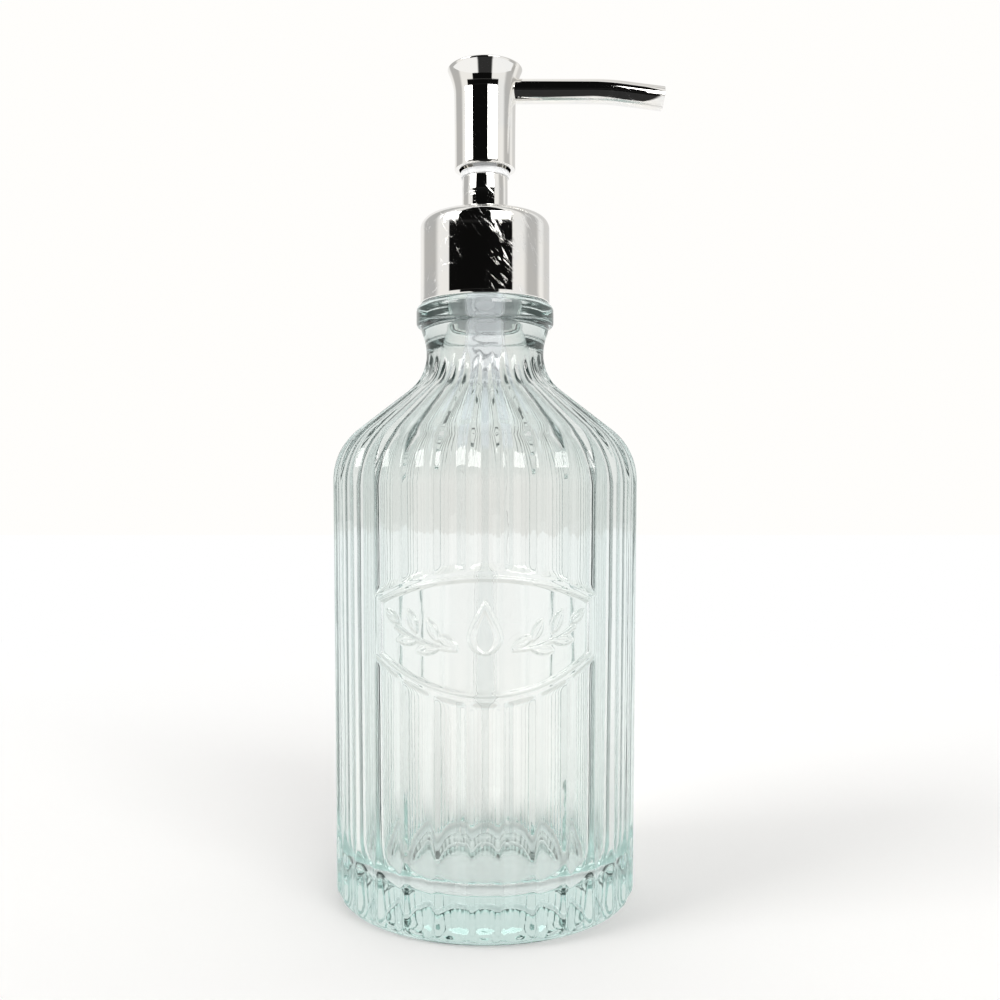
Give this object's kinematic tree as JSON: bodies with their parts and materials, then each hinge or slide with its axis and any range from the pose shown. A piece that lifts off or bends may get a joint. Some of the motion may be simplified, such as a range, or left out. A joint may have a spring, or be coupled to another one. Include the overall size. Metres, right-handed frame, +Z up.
{
  "type": "soap pump dispenser",
  "caption": "Fluted glass bottle with an ornamented plaque and a screw-on chrome lotion pump: flared press head, side spout, collar, sprung piston and dip tube.",
  "frame": {"origin": "on the bottle's axis, at the surface that the bottle stands on", "axes": "+Z up along the bottle's axis, +X the way the spout points at rest, -Y the side with the plaque"},
  "size_m": [0.0831, 0.0758, 0.207],
  "materials": {
    "bottle_glass": "clear, faint aqua tint",
    "chrome": "bright plated, fine handling scratches",
    "white_plastic": "smooth moulded",
    "clear_plastic": "translucent natural polypropylene",
    "tube_plastic": "translucent extruded tube",
    "piston_plastic": "smooth soft polyethylene",
    "gasket": "soft foamed liner",
    "spring_steel": "drawn stainless wire",
    "ball_steel": "polished stainless ball"
  },
  "bodies": {
    "bottle": {"bottle": "bottle_glass"},
    "pump_body": {"neck_gasket": "gasket", "pump_housing": "clear_plastic", "stem_guide": "white_plastic", "guide_sleeve": "chrome", "ball_cage": "white_plastic", "return_spring": "spring_steel", "dip_tube": "tube_plastic"},
    "collar": {"closure_ring": "white_plastic", "collar_shell": "chrome"},
    "plunger": {"piston": "piston_plastic"},
    "head": {"stem": "white_plastic", "piston_rod": "white_plastic", "actuator_core": "white_plastic", "head_shell": "chrome", "spout_tube": "chrome", "nozzle_insert": "white_plastic"},
    "inlet_valve": {"inlet_ball": "ball_steel"},
    "outlet_valve": {"outlet_ball": "ball_steel"}
  },
  "joints": [
    {"name": "pump_lift", "type": "slide", "parent": "bottle", "child": "pump_body", "axis": [0, 0, 1], "range_m": [0, 0.0047]},
    {"name": "collar_turn", "type": "hinge", "parent": "pump_body", "child": "collar", "pos_m": [0, 0, 0.155], "axis": [0, 0, 1], "range_deg": [0, 400]},
    {"name": "pump_stroke", "type": "slide", "parent": "pump_body", "child": "plunger", "axis": [0, 0, -1], "range_m": [0, 0.01], "stiffness_N_per_m": 350, "springref_m": -0.01, "deforming": ["return_spring"]},
    {"name": "head_swivel", "type": "hinge", "parent": "plunger", "child": "head", "pos_m": [0, 0, 0.18], "axis": [0, 0, 1], "continuous": true},
    {"name": "inlet_ball_lift", "type": "slide", "parent": "pump_body", "child": "inlet_valve", "axis": [0, 0, 1], "range_m": [0, 0.001]},
    {"name": "outlet_ball_lift", "type": "slide", "parent": "head", "child": "outlet_valve", "axis": [0, 0, 1], "range_m": [0, 0.0015]}
  ],
  "couplings": [
    {"joint": "collar_turn", "follows": "pump_lift", "rad_per_m": 1485.4}
  ]
}
